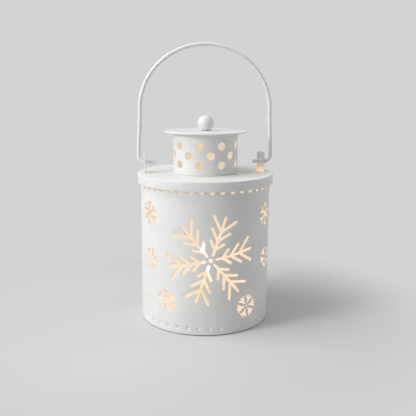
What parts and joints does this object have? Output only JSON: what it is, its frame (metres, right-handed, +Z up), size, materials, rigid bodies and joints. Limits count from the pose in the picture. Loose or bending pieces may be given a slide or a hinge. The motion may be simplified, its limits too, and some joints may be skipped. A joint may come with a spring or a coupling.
{
  "type": "led candle lantern",
  "caption": "Small round sheet-metal lantern with snowflake cut-outs, chimney, ball knob and wire bail, lit by a battery LED candle clipped into its base.",
  "frame": {"origin": "middle of the bottom rim, on the surface that the lantern stands on", "axes": "+Z up, X along the hinge of the wire bail, -Y towards the front with the large snowflake"},
  "size_m": [0.0952, 0.0942, 0.1915],
  "materials": {
    "white_coat": "semi-gloss white powder coat",
    "zinc_steel": "zinc plated",
    "candle_plastic": "satin moulded ivory plastic",
    "flame_plastic": "translucent frosted plastic, lit from inside",
    "led_lens": "clear amber epoxy lens",
    "contact_steel": "nickel plated",
    "board_laminate": "green solder mask over laminate",
    "dark_plastic": "moulded black plastic"
  },
  "bodies": {
    "root": {"body_shell": "white_coat", "base_plate": "white_coat", "lid": "white_coat", "ear_bracket_1": "white_coat", "ear_bracket_2": "white_coat", "chimney_drum": "white_coat", "chimney_cap": "white_coat", "knob_ball": "white_coat", "knob_screw": "zinc_steel", "candle_housing": "candle_plastic", "flame_bulb": "flame_plastic", "led": "led_lens", "led_lead_1": "contact_steel", "led_lead_2": "contact_steel", "circuit_board": "board_laminate", "resistor": "dark_plastic", "coin_cell": "contact_steel", "contact_negative": "contact_steel", "contact_positive": "contact_steel", "candle_closure": "candle_plastic", "closure_screw_1": "zinc_steel", "closure_screw_2": "zinc_steel", "switch_housing": "contact_steel", "switch_terminal_1": "contact_steel", "switch_terminal_2": "contact_steel", "switch_terminal_3": "contact_steel"},
    "bail": {"bail_handle": "white_coat"},
    "door": {"battery_door": "candle_plastic"},
    "slider": {"switch_slider": "dark_plastic"}
  },
  "joints": [
    {"name": "bail_swing", "type": "hinge", "parent": "root", "child": "bail", "pos_m": [0, 0, 0.1108], "axis": [1, 0, 0], "range_deg": [-114, 114]},
    {"name": "battery_door_turn", "type": "hinge", "parent": "root", "child": "door", "pos_m": [-0.0045, 0, 0.0023], "axis": [0, 0, 1], "range_deg": [0, 40]},
    {"name": "switch_slide", "type": "slide", "parent": "root", "child": "slider", "axis": [0, -1, 0], "range_m": [0, 0.0024]}
  ]
}
